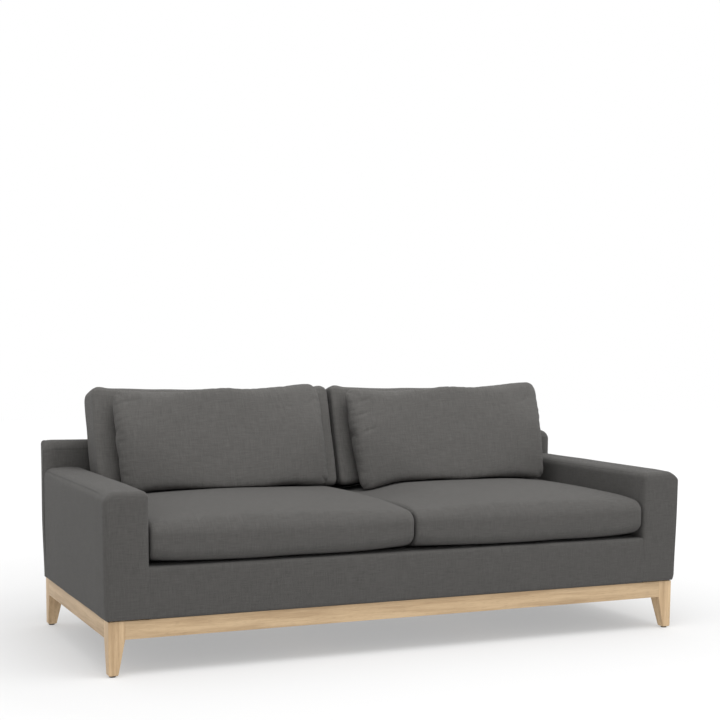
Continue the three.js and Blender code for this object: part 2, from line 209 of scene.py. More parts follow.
def groove(grid, column, weights, sink=SEAM_DEPTH):
    """Sinks one column of a ring grid along the local normal, with a low ridge on either side."""
    n = grid.shape[1]
    before, after = grid[:, (column - 3) % n], grid[:, (column + 3) % n]
    along = np.gradient(grid[:, column], axis=0)
    normal = np.cross(along, after - before)
    normal /= np.maximum(np.linalg.norm(normal, axis=1, keepdims=True), 1e-9)
    middle = grid.reshape(-1, 3).mean(axis=0)
    facing = np.sign(((grid[:, column] - middle) * normal).sum(axis=1, keepdims=True))
    normal *= np.where(facing == 0, 1, facing)
    for offset, depth in ((-1, 0.18), (0, -1.0), (1, 0.18)):
        grid[:, (column + offset) % n] += normal * (sink * depth * weights)[:, None]


def coons(loop, across, up):
    """Fills a closed loop of 2 (across + up) points with an (across + 1, up + 1) grid."""
    low = loop[: across + 1]
    right = loop[across : across + up + 1]
    top = loop[across + up : 2 * across + up + 1][::-1]
    left = np.concatenate([loop[2 * across + up :], loop[:1]])[::-1]
    s = np.linspace(0, 1, across + 1)[:, None, None]
    t = np.linspace(0, 1, up + 1)[None, :, None]
    sides = (1 - t) * low[:, None] + t * top[:, None] + (1 - s) * left[None] + s * right[None]
    corners = (
        (1 - s) * (1 - t) * low[0] + s * (1 - t) * low[-1] + (1 - s) * t * top[0] + s * t * top[-1]
    )
    return sides - corners


def end_caps(grid, across, up):
    return [coons(grid[0], across, up), coons(grid[-1], across, up)]


def dome(cap, axis, push, power):
    """Pushes the middle of a cap out along an axis. A low power keeps it full up to the rim."""
    s = np.linspace(0, 1, cap.shape[0])[:, None]
    t = np.linspace(0, 1, cap.shape[1])[None, :]
    cap[:, :, axis] += push * (16 * s * (1 - s) * t * (1 - t)) ** power


def mesh_object(name, verts, faces, uvs):
    """A smooth-shaded object whose UV layer holds the cloth's own coordinates in metres."""
    mesh = bpy.data.meshes.new(name)
    mesh.from_pydata([tuple(v) for v in verts], [], faces)
    layer = mesh.uv_layers.new(name="cloth")
    layer.data.foreach_set("uv", np.array(uvs, np.float32).ravel())
    bm = bmesh.new()
    bm.from_mesh(mesh)
    bmesh.ops.recalc_face_normals(bm, faces=bm.faces)
    for face in bm.faces:
        face.smooth = True
    bm.to_mesh(mesh)
    bm.free()
    return link(bpy.data.objects.new(name, mesh))


def arc_length(points, closed):
    """Distance run along each row of points, as (rows, columns)."""
    steps = np.linalg.norm(np.diff(points, axis=1), axis=2)
    if closed:
        last = np.linalg.norm(points[:, :1] - points[:, -1:], axis=2)
        steps = np.concatenate([steps, last], axis=1)
    return np.concatenate([np.zeros((len(points), 1)), np.cumsum(steps, axis=1)], axis=1)


def side_faces(grid):
    """Quads between neighbouring rings, and their cloth coordinates."""
    stations, n = grid.shape[:2]
    faces, uvs = [], []
    round_it = arc_length(grid, closed=True)[stations // 2]
    along = arc_length(grid.transpose(1, 0, 2), closed=False).mean(axis=0)
    for i in range(stations - 1):
        for j in range(n):
            k = (j + 1) % n
            faces.append((i * n + j, (i + 1) * n + j, (i + 1) * n + k, i * n + k))
            u0, u1 = round_it[j], round_it[j + 1]
            uvs.extend([(u0, along[i]), (u0, along[i + 1]), (u1, along[i + 1]), (u1, along[i])])
    return faces, uvs


def rim_places(across, up):
    """Where a ring's points lie on the rim of a cap's grid."""
    low = [(a, 0) for a in range(across)]
    right = [(across, b) for b in range(up)]
    top = [(a, up) for a in range(across, 0, -1)]
    left = [(0, b) for b in range(up, 0, -1)]
    return low + right + top + left


def shell(name, grid, across, up, caps):
    """A closed body from a (stations, points, 3) ring grid and its two end caps, each given as an
    (across + 1, up + 1, 3) grid whose rim is the first or last ring."""
    stations, n = grid.shape[:2]
    verts = [p for row in grid for p in row]
    faces, uvs = side_faces(grid)
    for end, cap in zip((0, stations - 1), caps):
        index = np.full((across + 1, up + 1), -1)
        for j, place in enumerate(rim_places(across, up)):
            index[place] = end * n + j
        for a in range(1, across):
            for b in range(1, up):
                index[a, b] = len(verts)
                verts.append(cap[a, b])
        u = np.cumsum(np.r_[0, np.linalg.norm(np.diff(cap[:, up // 2], axis=0), axis=1)])
        v = np.cumsum(np.r_[0, np.linalg.norm(np.diff(cap[across // 2], axis=0), axis=1)])
        for a in range(across):
            for b in range(up):
                around = [(a, b), (a + 1, b), (a + 1, b + 1), (a, b + 1)]
                faces.append(tuple(int(index[p]) for p in around))
                uvs.extend([(u[p[0]], v[p[1]]) for p in around])
    return mesh_object(name, verts, faces, uvs)


def coords(obj):
    co = np.zeros(len(obj.data.vertices) * 3)
    obj.data.vertices.foreach_get("co", co)
    return co.reshape(-1, 3)


def set_coords(obj, co):
    obj.data.vertices.foreach_set("co", np.asarray(co, np.float32).ravel())
    obj.data.update()


def normals(obj):
    no = np.zeros(len(obj.data.vertices) * 3)
    obj.data.vertices.foreach_get("normal", no)
    return no.reshape(-1, 3)


def unevenness(obj, amount, size, seed):
    """Moves the surface in and out by soft noise, as stuffing under cloth does."""
    co, no = coords(obj), normals(obj)
    offset = Vector((seed * 3.7, seed * 1.9, seed * 5.3))
    waves = np.array([noise.noise(Vector(p) / size + offset) for p in co])
    set_coords(obj, co + no * (amount * waves)[:, None])


# ======================================================================
# materials
# ======================================================================
def new_material(name):
    material = bpy.data.materials.new(name)
    material.use_nodes = True
    tree = material.node_tree
    return material, tree, tree.nodes["Principled BSDF"]


def plug(tree, value, socket):
    """Links a socket to a value from another node, or sets a constant on it."""
    if isinstance(value, bpy.types.NodeSocket):
        tree.links.new(value, socket)
    else:
        socket.default_value = value


def node(tree, kind, **settings):
    made = tree.nodes.new(kind)
    inputs = settings.pop("inputs", {})
    for key, value in settings.items():
        setattr(made, key, value)
    for key, value in inputs.items():
        plug(tree, value, made.inputs[key])
    return made


def maths(tree, operation, a, b=0.0, c=0.0):
    return node(tree, "ShaderNodeMath", operation=operation, inputs={0: a, 1: b, 2: c}).outputs[0]


def specks(tree, vector, scale, detail, **more):
    inputs = {"Vector": vector, "Scale": scale, "Detail": detail, **more}
    return node(tree, "ShaderNodeTexNoise", inputs=inputs).outputs[0]


def stretched(tree, vector, scale, location=(0, 0, 0)):
    inputs = {"Vector": vector, "Scale": scale, "Location": location}
    return node(tree, "ShaderNodeMapping", inputs=inputs).outputs[0]


def ramp(tree, factor, stops):
    made = node(tree, "ShaderNodeValToRGB", inputs={0: factor})
    elements = made.color_ramp.elements
    while len(elements) < len(stops):
        elements.new(0.5)
    for element, (place, value) in zip(elements, stops):
        element.position = place
        element.color = value if len(value) == 4 else (*value, 1)
    return made.outputs[0]


def mix(tree, factor, a, b, blend="MIX"):
    """Mixes two colours. The colour version of the node keeps its sockets at 0, 6, 7 and 2."""
    made = node(tree, "ShaderNodeMix", data_type="RGBA", blend_type=blend)
    for place, value in ((0, factor), (6, a), (7, b)):
        plug(tree, value, made.inputs[place])
    return made.outputs[2]


def bump(tree, shader, height, strength, distance):
    inputs = {"Height": height, "Strength": strength, "Distance": distance}
    tree.links.new(node(tree, "ShaderNodeBump", inputs=inputs).outputs[0], shader.inputs["Normal"])


def surface(tree, shader, colours, rough, specular=0.5):
    tree.links.new(colours, shader.inputs["Base Color"])
    plug(tree, rough, shader.inputs["Roughness"])
    shader.inputs["Specular IOR Level"].default_value = specular


def object_space(tree):
    return node(tree, "ShaderNodeTexCoord").outputs["Object"]


def grey(value):
    return (value, value, value, 1)


def scaled(colour, factor):
    return [min(1, c * factor) for c in colour]


def slubs(tree, uv, fineness, seed, offsets):
    """Thick places in the yarn, drawn out along the warp and along the weft, added together."""
    thin, long = fineness
    warp, weft = (
        specks(tree, stretched(tree, uv, (*scale, 1.0), (offset, seed, 0)), 1.0, 2.0)
        for scale, offset in zip(((long, thin), (thin, long)), offsets)
    )
    return maths(tree, "ADD", warp, weft)


def weave(tree, uv, thread):
    """Height of a plain weave: 1 on a thread's crown, 0 between threads."""
    place = node(tree, "ShaderNodeSeparateXYZ", inputs={0: uv})
    wobble = maths(tree, "SUBTRACT", specks(tree, uv, 140.0, 1.0), 0.5)
    shift = maths(tree, "MULTIPLY", wobble, 0.9)
    waves = [
        maths(tree, "SINE", maths(tree, "ADD", maths(tree, "MULTIPLY", at, math.pi / thread), shift))
        for at in place.outputs[:2]
    ]
    warp, weft = (maths(tree, "ABSOLUTE", wave) for wave in waves)
    over = maths(tree, "GREATER_THAN", maths(tree, "MULTIPLY", *waves), 0.0)
    crossing = node(tree, "ShaderNodeMix", data_type="FLOAT", inputs={0: over, 2: warp, 3: weft})
    return crossing.outputs[0]


def fabric_material(name, colour, seed):
    """Plain weave of slightly uneven yarn, drawn in the cloth's own coordinates."""
    material, tree, shader = new_material(name)
    uv = node(tree, "ShaderNodeUVMap", uv_map="cloth").outputs[0]
    height = weave(tree, uv, THREAD)
    yarns = slubs(tree, uv, (420, 26), seed, (3.1, 8.3))
    bands = slubs(tree, uv, (190, 16), seed, (5.7, 1.9))
    blotch = specks(tree, uv, 9.0, 3.0)
    fibre = specks(tree, uv, 1400.0, 2.0)
    tone = maths(tree, "MULTIPLY_ADD", yarns, 1.15, -1.20)
    tone = maths(tree, "MULTIPLY_ADD", bands, 0.60, tone)
    tone = maths(tree, "MULTIPLY_ADD", maths(tree, "SUBTRACT", blotch, 0.5), 0.20, tone)
    tone = maths(tree, "MULTIPLY_ADD", maths(tree, "SUBTRACT", fibre, 0.5), 0.35, tone)
    tone = maths(tree, "MULTIPLY_ADD", maths(tree, "SUBTRACT", height, 0.62), 0.38, tone)
    colours = ramp(tree, tone, [(0.0, scaled(colour, 0.80)), (1.0, scaled(colour, 1.20))])
    surface(tree, shader, colours, maths(tree, "MULTIPLY_ADD", fibre, 0.12, 0.84), specular=0.18)
    shader.inputs["Sheen Weight"].default_value = 0.06
    shader.inputs["Sheen Roughness"].default_value = 0.5
    height = maths(tree, "MULTIPLY_ADD", maths(tree, "ADD", yarns, bands), 0.6, height)
    height = maths(tree, "MULTIPLY_ADD", fibre, 0.3, height)
    bump(tree, shader, height, 0.55, 0.0006)
    return material


def along_grain(axis, along, across):
    """A scale with one value along the grain's axis and another across it."""
    return [along if name == axis else across for name in "xyz"]


def growth(tree, where, axis, seed):
    """Growth rings and the wider figure of the timber, each 0 to 1."""
    location = (seed * 0.37, seed * 0.61, seed * 0.23)
    placed = stretched(tree, where, along_grain(axis, 0.055, 1.0), location)
    drift = node(tree, "ShaderNodeTexNoise", inputs={"Vector": placed, "Scale": 7.0, "Detail": 2.0})
    bent = mix(tree, 0.035, placed, drift.outputs[1], blend="ADD")
    rings = specks(tree, bent, 62.0, 3.0, Roughness=0.55)
    figure = node(
        tree,
        "ShaderNodeTexWave",
        wave_type="RINGS",
        rings_direction=axis.upper(),
        inputs={"Vector": bent, "Scale": 9.0, "Distortion": 5.0, "Detail": 2.0, "Detail Scale": 1.4},
    ).outputs[1]
    return rings, figure


def wood_material(name, axis, light, dark, seed, rough, pore=1.0):
    """Straight-grained timber: growth rings stretched along the piece's axis, fibres and pores."""
    material, tree, shader = new_material(name)
    where = object_space(tree)
    rings, figure = growth(tree, where, axis, seed)
    fibre = specks(tree, stretched(tree, where, along_grain(axis, 9.0, 260.0)), 1.0, 3.0)
    pores = specks(tree, stretched(tree, where, along_grain(axis, 34.0, 620.0)), 1.0, 1.0)
    pore_mask = ramp(tree, pores, [(0.30, grey(1)), (0.42, grey(0))])
    tone = maths(tree, "MULTIPLY_ADD", rings, 0.95, maths(tree, "MULTIPLY", figure, 0.26))
    tone = maths(tree, "MULTIPLY_ADD", fibre, 0.55, maths(tree, "SUBTRACT", tone, 0.36))
    colours = ramp(tree, tone, [(0.32, light), (0.76, dark)])
    cloud = maths(tree, "MULTIPLY", specks(tree, where, 5.0, 2.0), 0.5)
    warm = [c * f for c, f in zip(light, (1.04, 0.97, 0.88))]
    colours = mix(tree, cloud, colours, (*warm, 1))
    colours = mix(tree, maths(tree, "MULTIPLY", pore_mask, 0.35 * pore), colours, (*scaled(dark, 0.55), 1))
    edge = node(tree, "ShaderNodeNewGeometry").outputs["Pointiness"]
    wear = maths(tree, "MULTIPLY", ramp(tree, edge, [(0.50, grey(0)), (0.58, grey(1))]), 0.22)
    colours = mix(tree, wear, colours, (*scaled(light, 1.2), 1))
    finish = maths(tree, "MULTIPLY_ADD", fibre, 0.18, rough - 0.09)
    surface(tree, shader, colours, finish, specular=0.35)
    height = maths(tree, "SUBTRACT", maths(tree, "MULTIPLY", fibre, 0.4), pore_mask)
    bump(tree, shader, height, 0.35, 0.0004)
    return material


def metal_material(name, colour, rough):
    material, tree, shader = new_material(name)
    where = object_space(tree)
    scratch = specks(tree, where, 900.0, 3.0)
    patches = specks(tree, where, 60.0, 2.0)
    colours = ramp(tree, patches, [(0.3, scaled(colour, 0.8)), (0.7, colour)])
    surface(tree, shader, colours, maths(tree, "MULTIPLY_ADD", scratch, 0.25, rough - 0.12))
    shader.inputs["Metallic"].default_value = 1.0
    bump(tree, shader, scratch, 0.2, 0.0002)
    return material


def plastic_material(name, colour):
    material, tree, shader = new_material(name)
    where = object_space(tree)
    grain = specks(tree, where, 1200.0, 2.0)
    scuff = specks(tree, where, 90.0, 3.0)
    colours = ramp(tree, scuff, [(0.35, colour), (0.75, scaled(colour, 1.7))])
    surface(tree, shader, colours, maths(tree, "MULTIPLY_ADD", scuff, 0.25, 0.42))
    bump(tree, shader, grain, 0.3, 0.0002)
    return material


def cambric_material(name, colour):
    """Thin black non-woven cloth, bonded in a lattice of small dots."""
    material, tree, shader = new_material(name)
    where = object_space(tree)
    place = node(tree, "ShaderNodeSeparateXYZ", inputs={0: where})
    waves = [maths(tree, "SINE", maths(tree, "MULTIPLY", at, 2100.0)) for at in place.outputs[:2]]
    dots = maths(tree, "MULTIPLY", *waves)
    fibre = specks(tree, where, 700.0, 4.0)
    colours = ramp(tree, fibre, [(0.3, colour), (0.75, scaled(colour, 2.2))])
    surface(tree, shader, colours, maths(tree, "MULTIPLY_ADD", fibre, 0.2, 0.75))
    bump(tree, shader, maths(tree, "MULTIPLY_ADD", dots, -0.4, fibre), 0.5, 0.0003)
    return material


# each part gets its own copy of the cloth, with its painted light or shade scaled into the colour
CLOTH = {
    key: fabric_material(f"upholstery_{key}", scaled(CLOTH_COLOUR, painted_light), seed)
    for seed, (key, painted_light) in enumerate(CLOTH_PAINTED_LIGHT.items())
}


def paint(obj, material):
    obj.data.materials.clear()
    obj.data.materials.append(material)


def upholster(obj, body, replaced, cloth):
    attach(obj, body)
    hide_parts(replaced)
    paint(obj, CLOTH[cloth])


# ======================================================================
# upholstered body
# ======================================================================
def arm_ring(y, inset, sign, low, high):
    """An upright section across an arm at y, drawn on the right-hand side and mirrored for the left."""
    inner, outer = (low.x, high.x) if sign > 0 else (-high.x, -low.x)
    at_front = 1 - float(smoothstep(0.02, 0.20, y - low.y))
    outer_round = ARM_OUTER_ROUND + (ARM_CORNER_ROUND - ARM_OUTER_ROUND) * at_front
    radii = [max(r - inset, LEAST_ROUND) for r in (TUCK_ROUND, TUCK_ROUND, outer_round, ARM_INNER_ROUND)]
    inner_inset = inset * ARM_INNER_EDGE / ARM_FRONT_ROUND
    outer_inset = inset * ARM_OUTER_EDGE / ARM_FRONT_ROUND
    corner_low = (inner + inner_inset, low.z + min(inset, 0.004))
    loop = rounded_loop(corner_low, (outer - outer_inset, high.z - inset), radii, *ARM_POINTS)
    x, z = loop[:, 0], loop[:, 1]
    border_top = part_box("front_border_cover")[1].z
    beside_border = smoothstep(border_top + 0.012, border_top - 0.012, z)
    x = x - 0.9 * inner_inset * beside_border * smoothstep(inner + 0.05, inner + 0.02, x)
    outside = smoothstep(outer - 0.05, outer - 0.01, x)
    behind_front = smoothstep(0, 0.12, y - low.y)
    over = smoothstep(high.z - 0.08, high.z - 0.01, z)
    z = z + ARM_CROWN * over * bowed(x, inner, outer) * (0.3 + 0.7 * behind_front)
    fullness = smoothstep(low.z - 0.01, low.z + 0.025, z) * smoothstep(high.z, high.z - 0.035, z)
    fullness = fullness * (0.7 + 0.3 * behind_front)
    fullness = fullness * (1 - 0.5 * float(smoothstep(high.y - 0.30, high.y, y)))
    even, upper = ARM_BULGE[sign]
    x = x + outside * (even + upper * smoothstep(low.z, high.z - 0.12, z)) * fullness
    return np.stack([x * sign, np.full_like(x, y), z], axis=1)


def build_arm(name, sign):
    low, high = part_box(f"arm_cover_{name}")
    stations = end_stations(low.y, high.y + ARM_RUN_ON, ARM_FRONT_ROUND, 0.003, 0.011)
    grid = np.array([arm_ring(y, inset, sign, low, high) for y, inset in stations])
    across, up = loop_sides(*ARM_POINTS)
    seams = [across + up - 1, 2 * across + up + 1]  # just below the two rounded top edges
    grid, places = densify(grid, seams, SEAM_HALF_WIDTH)
    up += SEAM_POINTS
    fade = smoothstep(0.05, 0.12, grid[:, 0, 1] - low.y)
    for place in places:
        groove(grid, place, fade)
    caps = end_caps(grid, across, up)
    dome(caps[0], 1, -ARM_FRONT_DOME, 2)
    obj = shell(f"arm_{name}", grid, across, up, caps)
    unevenness(obj, 0.0012, 0.16, 1 + sign)
    upholster(obj, "frame", f"arm_cover_{name}", "body")


def back_ring(x, inset, low, high):
    """A section of the back at x, with its upper corner rounded more at the front than at the rear."""
    end = 1 if x > 0 else -1
    radii = [max(r - inset, LEAST_ROUND) for r in (TUCK_ROUND, TUCK_ROUND, BACK_REAR_ROUND, BACK_FRONT_ROUND)]
    loop = rounded_loop(
        (low.y + min(inset, 0.032), low.z + min(inset, 0.004)),
        (high.y - min(inset, 0.010), high.z),
        radii,
        *BACK_POINTS,
    )
    y, z = loop[:, 0], loop[:, 1]
    forward = smoothstep(high.y - 0.004, low.y + 0.012, y)
    drop_front = BACK_CORNER_TALL * quarter((high.x - abs(x)) / BACK_END_ROUND)
    rear_corner = BACK_REAR_CORNERS[end]
    drop_rear = rear_corner * quarter((high.x - abs(x)) / rear_corner)
    drop = drop_rear + (drop_front - drop_rear) * forward
    z = z - drop * smoothstep(high.z - 0.24, high.z, z)
    face = smoothstep(high.y - 0.03, low.y, y)
    y = y - 0.004 * face * bowed(z, 0.45, high.z) * bowed(x, low.x, high.x) ** 0.4
    sag = 0.004 * smoothstep(0.6, high.z, z) * bowed(x, low.x, high.x) ** 0.5
    wide = 1 + BACK_BULGE[end] / high.x * smoothstep(low.z, low.z + 0.25, z)
    return np.stack([x * wide, y, z - sag], axis=1)


def build_back():
    low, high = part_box("back_cover")
    stations = end_stations(low.x, high.x, BACK_END_ROUND, BACK_END_ROUND, 0.014, bends=7)
    grid = np.array([back_ring(x, inset, low, high) for x, inset in stations])
    across, up = loop_sides(*BACK_POINTS)
    half_arc = BACK_POINTS[1] // 2
    seams = [across + up - half_arc, 2 * across + up + half_arc]  # under the rear and the front edge
    grid, places = densify(grid, seams, SEAM_HALF_WIDTH)
    up += SEAM_POINTS
    weights = smoothstep(0.01, 0.03, high.x - np.abs(grid[:, 0, 0]))
    for place in places:
        groove(grid, place, weights)
    obj = shell("back_panel", grid, across, up, end_caps(grid, across, up))
    unevenness(obj, 0.0012, 0.2, 4)
    upholster(obj, "frame", "back_cover", "body")


def border_ring(x, inset, reach, low, high):
    radii = [max(r - inset, 0.001) for r in (TUCK_ROUND, 0.001, BORDER_TOP_ROUND, BORDER_TOP_ROUND)]
    corner_low = (low.y + inset, low.z + min(inset, 0.003))
    loop = rounded_loop(corner_low, (high.y, high.z), radii, *BORDER_POINTS)
    y, z = loop[:, 0], loop[:, 1]
    face = smoothstep(low.y + 0.02, low.y, y)
    y = y - 0.0025 * face * bowed(z, low.z, high.z) * bowed(x, -reach, reach) ** 0.6
    return np.stack([np.full_like(y, x), y, z], axis=1)


def build_border():
    low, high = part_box("front_border_cover")
    reach = high.x + BORDER_REACH
    stations = end_stations(-reach, reach, LEAST_ROUND, LEAST_ROUND, 0.014, bends=3)
    grid = np.array([border_ring(x, inset, reach, low, high) for x, inset in stations])
    across, up = loop_sides(*BORDER_POINTS)
    obj = shell("front_border", grid, across, up, end_caps(grid, across, up))
    unevenness(obj, 0.0009, 0.18, 6)
    upholster(obj, "frame", "front_border_cover", "body")


def deck_ring(x, inset, low, high):
    radii = [0.004 + 0.001 * (inset == 0)] * 4
    loop = rounded_loop(
        (low.y + inset, low.z + inset * 0.8),
        (high.y - inset, high.z - inset * 0.8),
        radii,
        *DECK_POINTS,
    )
    y, z = loop[:, 0], loop[:, 1]
    quilt = QUILT_DEPTH * np.sin(x * 2 * math.pi / QUILT_PITCH) ** 2
    top = smoothstep(low.z + 0.004, high.z, z)
    return np.stack([np.full_like(y, x), y, z - quilt * top], axis=1)


def build_deck():
    low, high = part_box("deck_pad")
    stations = end_stations(low.x, high.x, 0.005, 0.005, 0.02, bends=3)
    grid = np.array([deck_ring(x, inset, low, high) for x, inset in stations])
    across, up = loop_sides(*DECK_POINTS)
    obj = shell("seat_deck", grid, across, up, end_caps(grid, across, up))
    upholster(obj, "frame", "deck_pad", "body")


for side_name, side_sign in SIDES:
    build_arm(side_name, side_sign)
build_back()
build_border()
build_deck()


# ======================================================================
# loose cushions
# ======================================================================
def finish_soft(obj, node_name, cloth):
    subdivide = obj.modifiers.new("soft", "SUBSURF")
    subdivide.levels = subdivide.render_levels = 1
    upholster(obj, node_name, node_name, cloth)
    return obj


def hold_ends(obj, low, high):
    """Keep a cushion's ends between two places along X, clear of the one beside it."""
    co = coords(obj)
    co[:, 0] = np.clip(co[:, 0], low, high)
    set_coords(obj, co)


def seat_crown(name, u, t):
    """Rise of a seat cushion's top, u from -1 to 1 along it and t from its front to its rear.
    The inner ends differ: the left cushion's is fuller there and the right one's lower."""
    crown = SEAT_CROWN * (1 - abs(u) ** 2.6) * np.sin(math.pi * np.clip(t, 0, 1) ** 0.8) ** 0.7
    behind_front = smoothstep(0.15, 0.5, t)
    if name == "right":
        return crown - 0.016 * float(smoothstep(-0.5, -0.88, u)) * behind_front
    return crown + 0.006 * math.exp(-(((u - 0.82) / 0.14) ** 2)) * behind_front


def seat_ring(name, x, inset, low, high):
    """A section of a seat cushion from front to rear at x."""
    middle, half = (low.x + high.x) / 2, (high.x - low.x) / 2
    u = (x - middle) / half
    front_y = low.y - 0.002
    base_top = low.z + SEAT_EDGE_TALL
    radii = [r - inset * 0.6 for r in (0.034, 0.030, 0.034, 0.042)]
    loop = rounded_loop(
        (front_y + inset * 0.9, low.z + inset * 0.75),
        (high.y - inset * 0.9, base_top - inset * 0.9),
        radii,
        *SEAT_POINTS,
    )
    y, z = loop[:, 0], loop[:, 1]
    t = np.clip((y - front_y) / (high.y - low.y), 0, 1)
    h = np.clip((z - low.z) / (base_top - low.z), 0, 1)
    slope = SEAT_SLOPE * (1 - np.exp(-(y - front_y) / 0.13))
    lift = (0.013 + 0.026 * abs(u) ** 4) * np.exp(-((y - front_y) / 0.055)) * (1 - h) ** 1.2
    z = z + (slope + seat_crown(name, u, t)) * h**1.3 + lift
    bulge = 0.005 * bowed(z, low.z, base_top) * max(1 - u * u, 0) ** 0.5
    y = y - bulge * smoothstep(0.2, 0.0, t)
    pull = 0.004 * np.sin(math.pi * t)
    return np.stack([middle + (x - middle) * (1 - pull / half), y, z], axis=1)


def seat_cushion(name):
    node_name = f"seat_cushion_{name}"
    low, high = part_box(node_name)
    stations = end_stations(low.x, high.x, SEAT_END_ROUND, SEAT_END_ROUND, 0.0095, END_BENDS)
    grid = np.array([seat_ring(name, x, inset, low, high) for x, inset in stations])
    frontal = smoothstep(0.10, 0.03, grid[END_SEAM, :, 1] - (low.y - 0.002))
    for row in (END_SEAM, len(grid) - 1 - END_SEAM):
        groove(grid.transpose(1, 0, 2), row, frontal, SEAT_SEAM)
    across, up = loop_sides(*SEAT_POINTS)
    caps = end_caps(grid, across, up)
    for cap, outward in zip(caps, (-1, 1)):
        dome(cap, 0, outward * 0.0015, 0.5)
    obj = shell(f"seat_pad_{name}", grid, across, up, caps)
    unevenness(obj, 0.0022, 0.19, 8 if name == "left" else 15)
    hold_ends(obj, low.x, high.x)
    return finish_soft(obj, node_name, "seat")


def seam_front(ring):
    """Where the leaning front face of a ring lies, at each of its points' heights."""
    top = ring[:, 2].max()
    front_top = ring[:, 1][ring[:, 2] > top - 0.04].min()
    return front_top + (ring[:, 2] - top) * math.tan(LEAN)


def back_cushion_ring(name, x, inset, low, high):
    """A section of a back cushion at x: a rounded block stood up, filled out and leant back.
    d runs from its front face to its rear, v from its foot to its top."""
    u = (2 * x - low.x - high.x) / (high.x - low.x)
    thick, tall = BACK_THICK / math.cos(LEAN), high.z - low.z
    radii = [max(r - inset * 0.7, 0.004) for r in (0.026, 0.030, 0.030, 0.026)]
    loop = rounded_loop((inset, inset), (thick - inset, tall - inset), radii, *BACK_CUSHION_POINTS)
    d, z = loop[:, 0], loop[:, 1]
    v = np.clip(z / tall, 0, 1)
    puff = (1 - abs(u) ** 3) * bowed(v, 0, 1) ** 0.8
    rearward = BACK_PUFF_REAR * smoothstep(thick / 2, thick, d)
    forward = BACK_PUFF_FRONT * smoothstep(thick / 2, 0, d)
    d = d + puff * (rearward - forward)
    near_top = smoothstep(0.85, 1.0, v)
    sag = 0.012 * (1 - abs(u) ** 2.5) * smoothstep(0.75, 1.0, v)
    ears = 0.006 * np.exp(-(((abs(u) - 0.93) / 0.05) ** 2)) * near_top
    crown = 0.010 * bowed(d, 0.01, thick) * near_top * (1 - abs(u) ** 4)
    tilt = (d - thick * 0.3) * math.sin(LEAN) * 0.8 * smoothstep(0.3, 1.0, v)
    inner = u if name == "left" else -u
    foot = BACK_FOOT * float(smoothstep(0.72, 0.95, inner)) * smoothstep(0.25, 0.0, v)
    z = low.z + z - sag + ears + crown - tilt - foot
    panel_front, panel_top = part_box("back_cover")[0].y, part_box("back_cover")[1].z
    rear = panel_front - BACK_GAP + (z - panel_top) * math.tan(LEAN)
    stands_out = name == "left" or u > 0  # the right cushion's inner end stays flat
    swell = BACK_SWELL * stands_out * np.sin(math.pi * v) * abs(u) ** 3 * np.sign(u)
    return np.stack([x + swell, rear - thick + d, z], axis=1)


def back_cushion(name):
    node_name = f"back_cushion_{name}"
    low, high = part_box(node_name)
    stations = end_stations(low.x, high.x, CUSHION_END_ROUND, CUSHION_END_ROUND, 0.010, END_BENDS)
    grid = np.array([back_cushion_ring(name, x, inset, low, high) for x, inset in stations])
    across, up = loop_sides(*BACK_CUSHION_POINTS)
    from_ends = (high.x - low.x) / 2 - np.abs(grid[:, 0, 0] - (low.x + high.x) / 2)
    groove(grid, 2 * across + up + 3, smoothstep(0.0, 0.02, from_ends), BACK_SEAM)
    for row in (END_SEAM, len(grid) - 1 - END_SEAM):
        frontal = smoothstep(0.060, 0.035, grid[row, :, 1] - seam_front(grid[row]))
        groove(grid.transpose(1, 0, 2), row, frontal, BACK_SEAM)
    obj = shell(f"back_pad_{name}", grid, across, up, end_caps(grid, across, up))
    unevenness(obj, 0.003, 0.12, 21 if name == "left" else 27)
    clear_of_seat = 0.002 if name == "right" else -BACK_SWELL
    hold_ends(obj, low.x + clear_of_seat, high.x + BACK_SWELL)
    return finish_soft(obj, node_name, "back")


def flat_pillow(name, width, height, seed):
    """Two panels sewn together round their edge, as a mesh in the x-z plane. Returns the object,
    which points are on the seam, and every point's place on its panel from -1 to 1."""
    nx, nz = round(width / PILLOW_STEP), round(height / PILLOW_STEP)
    verts, faces, uvs, index, seam, rest = [], [], [], {}, [], []
    for side in (-1, 1):
        for i in range(nx + 1):
            for k in range(nz + 1):
                on_edge = i in (0, nx) or k in (0, nz)
                if side == 1 and on_edge:
                    index[side, i, k] = index[-1, i, k]
                    continue
                u, v = 2 * i / nx - 1, 2 * k / nz - 1
                swell = 0 if on_edge else side * 0.03 * math.sqrt((1 - u**4) * (1 - v**4))
                swell += 0.002 * noise.noise(Vector((u * 9, v * 5, seed + side))) * (not on_edge)
                index[side, i, k] = len(verts)
                if on_edge:
                    seam.append(len(verts))
                verts.append((u * width / 2, swell, v * height / 2))
                rest.append((u, v))
        for i in range(nx):
            for k in range(nz):
                around = [(i, k), (i + 1, k), (i + 1, k + 1), (i, k + 1)]
                if side == 1:
                    around.reverse()
                faces.append([index[side, a, b] for a, b in around])
                uvs.extend([(a * PILLOW_STEP + (side > 0) * 2, b * PILLOW_STEP) for a, b in around])
    return mesh_object(name, verts, faces, uvs), np.array(seam), np.array(rest)


